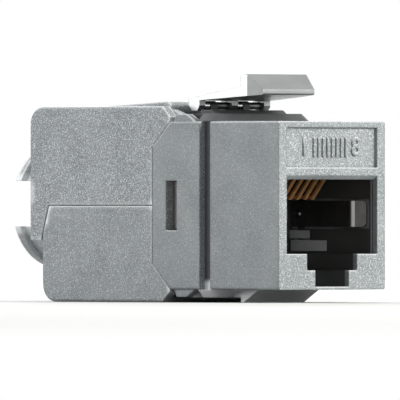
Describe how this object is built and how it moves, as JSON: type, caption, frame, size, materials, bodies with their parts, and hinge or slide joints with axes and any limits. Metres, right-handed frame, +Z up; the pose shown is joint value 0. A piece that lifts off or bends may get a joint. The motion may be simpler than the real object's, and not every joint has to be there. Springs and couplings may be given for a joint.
{
  "type": "keystone jack",
  "caption": "Shielded tool-less keystone jack with an RJ45 port, a sprung panel latch, a fixed lug and hinged wings that close round the cable.",
  "frame": {"origin": "on the floor, under the middle of the jack's width and length", "axes": "+Z up, +Y from the port towards the cable, +X to the right as the port is seen from in front"},
  "size_m": [0.0144, 0.0378, 0.022],
  "materials": {
    "zinc_cast": "fine-grained satin die casting",
    "zinc_smooth": "smooth satin die casting",
    "black_plastic": "semi-gloss moulded",
    "gold_contact": "gold flash on bronze",
    "tinned_leaf": "tinned sheet",
    "steel_pin": "bright steel",
    "spring_steel": "bright spring wire",
    "board": "green solder mask",
    "block_plastic": "moulded, matt",
    "manager_plastic": "moulded, matt",
    "terminal_bronze": "tinned bronze"
  },
  "bodies": {
    "housing": {"front_housing": "zinc_cast", "contact_carrier": "black_plastic", "latch_frame": "zinc_smooth", "rear_frame": "zinc_cast", "latch_pin": "steel_pin", "latch_spring_1": "spring_steel", "latch_spring_2": "spring_steel", "upper_hinge_pin": "steel_pin", "lower_hinge_pin": "steel_pin", "ground_spring_left": "tinned_leaf", "ground_spring_right": "tinned_leaf", "circuit_board": "board", "terminal_block": "block_plastic", "wire_manager": "manager_plastic", "contact_1": "gold_contact", "contact_2": "gold_contact", "contact_3": "gold_contact", "contact_4": "gold_contact", "contact_5": "gold_contact", "contact_6": "gold_contact", "contact_7": "gold_contact", "contact_8": "gold_contact", "idc_terminal_1": "terminal_bronze", "idc_terminal_2": "terminal_bronze", "idc_terminal_3": "terminal_bronze", "idc_terminal_4": "terminal_bronze", "idc_terminal_5": "terminal_bronze", "idc_terminal_6": "terminal_bronze", "idc_terminal_7": "terminal_bronze", "idc_terminal_8": "terminal_bronze"},
    "upper_wing": {"upper_wing": "zinc_cast"},
    "lower_wing": {"lower_wing": "zinc_cast"},
    "latch": {"latch_lever": "zinc_smooth"}
  },
  "joints": [
    {"name": "upper_wing_hinge", "type": "hinge", "parent": "housing", "child": "upper_wing", "pos_m": [0, -0.0058, 0.0168], "axis": [1, 0, 0], "range_deg": [0, 70]},
    {"name": "lower_wing_hinge", "type": "hinge", "parent": "housing", "child": "lower_wing", "pos_m": [0, -0.0058, 0.0019], "axis": [1, 0, 0], "range_deg": [-70, 0]},
    {"name": "latch_pivot", "type": "hinge", "parent": "housing", "child": "latch", "pos_m": [0, -0.0049, 0.019], "axis": [1, 0, 0], "range_deg": [0, 15], "stiffness_Nm_per_rad": 0.08, "springref_deg": -1.15}
  ]
}
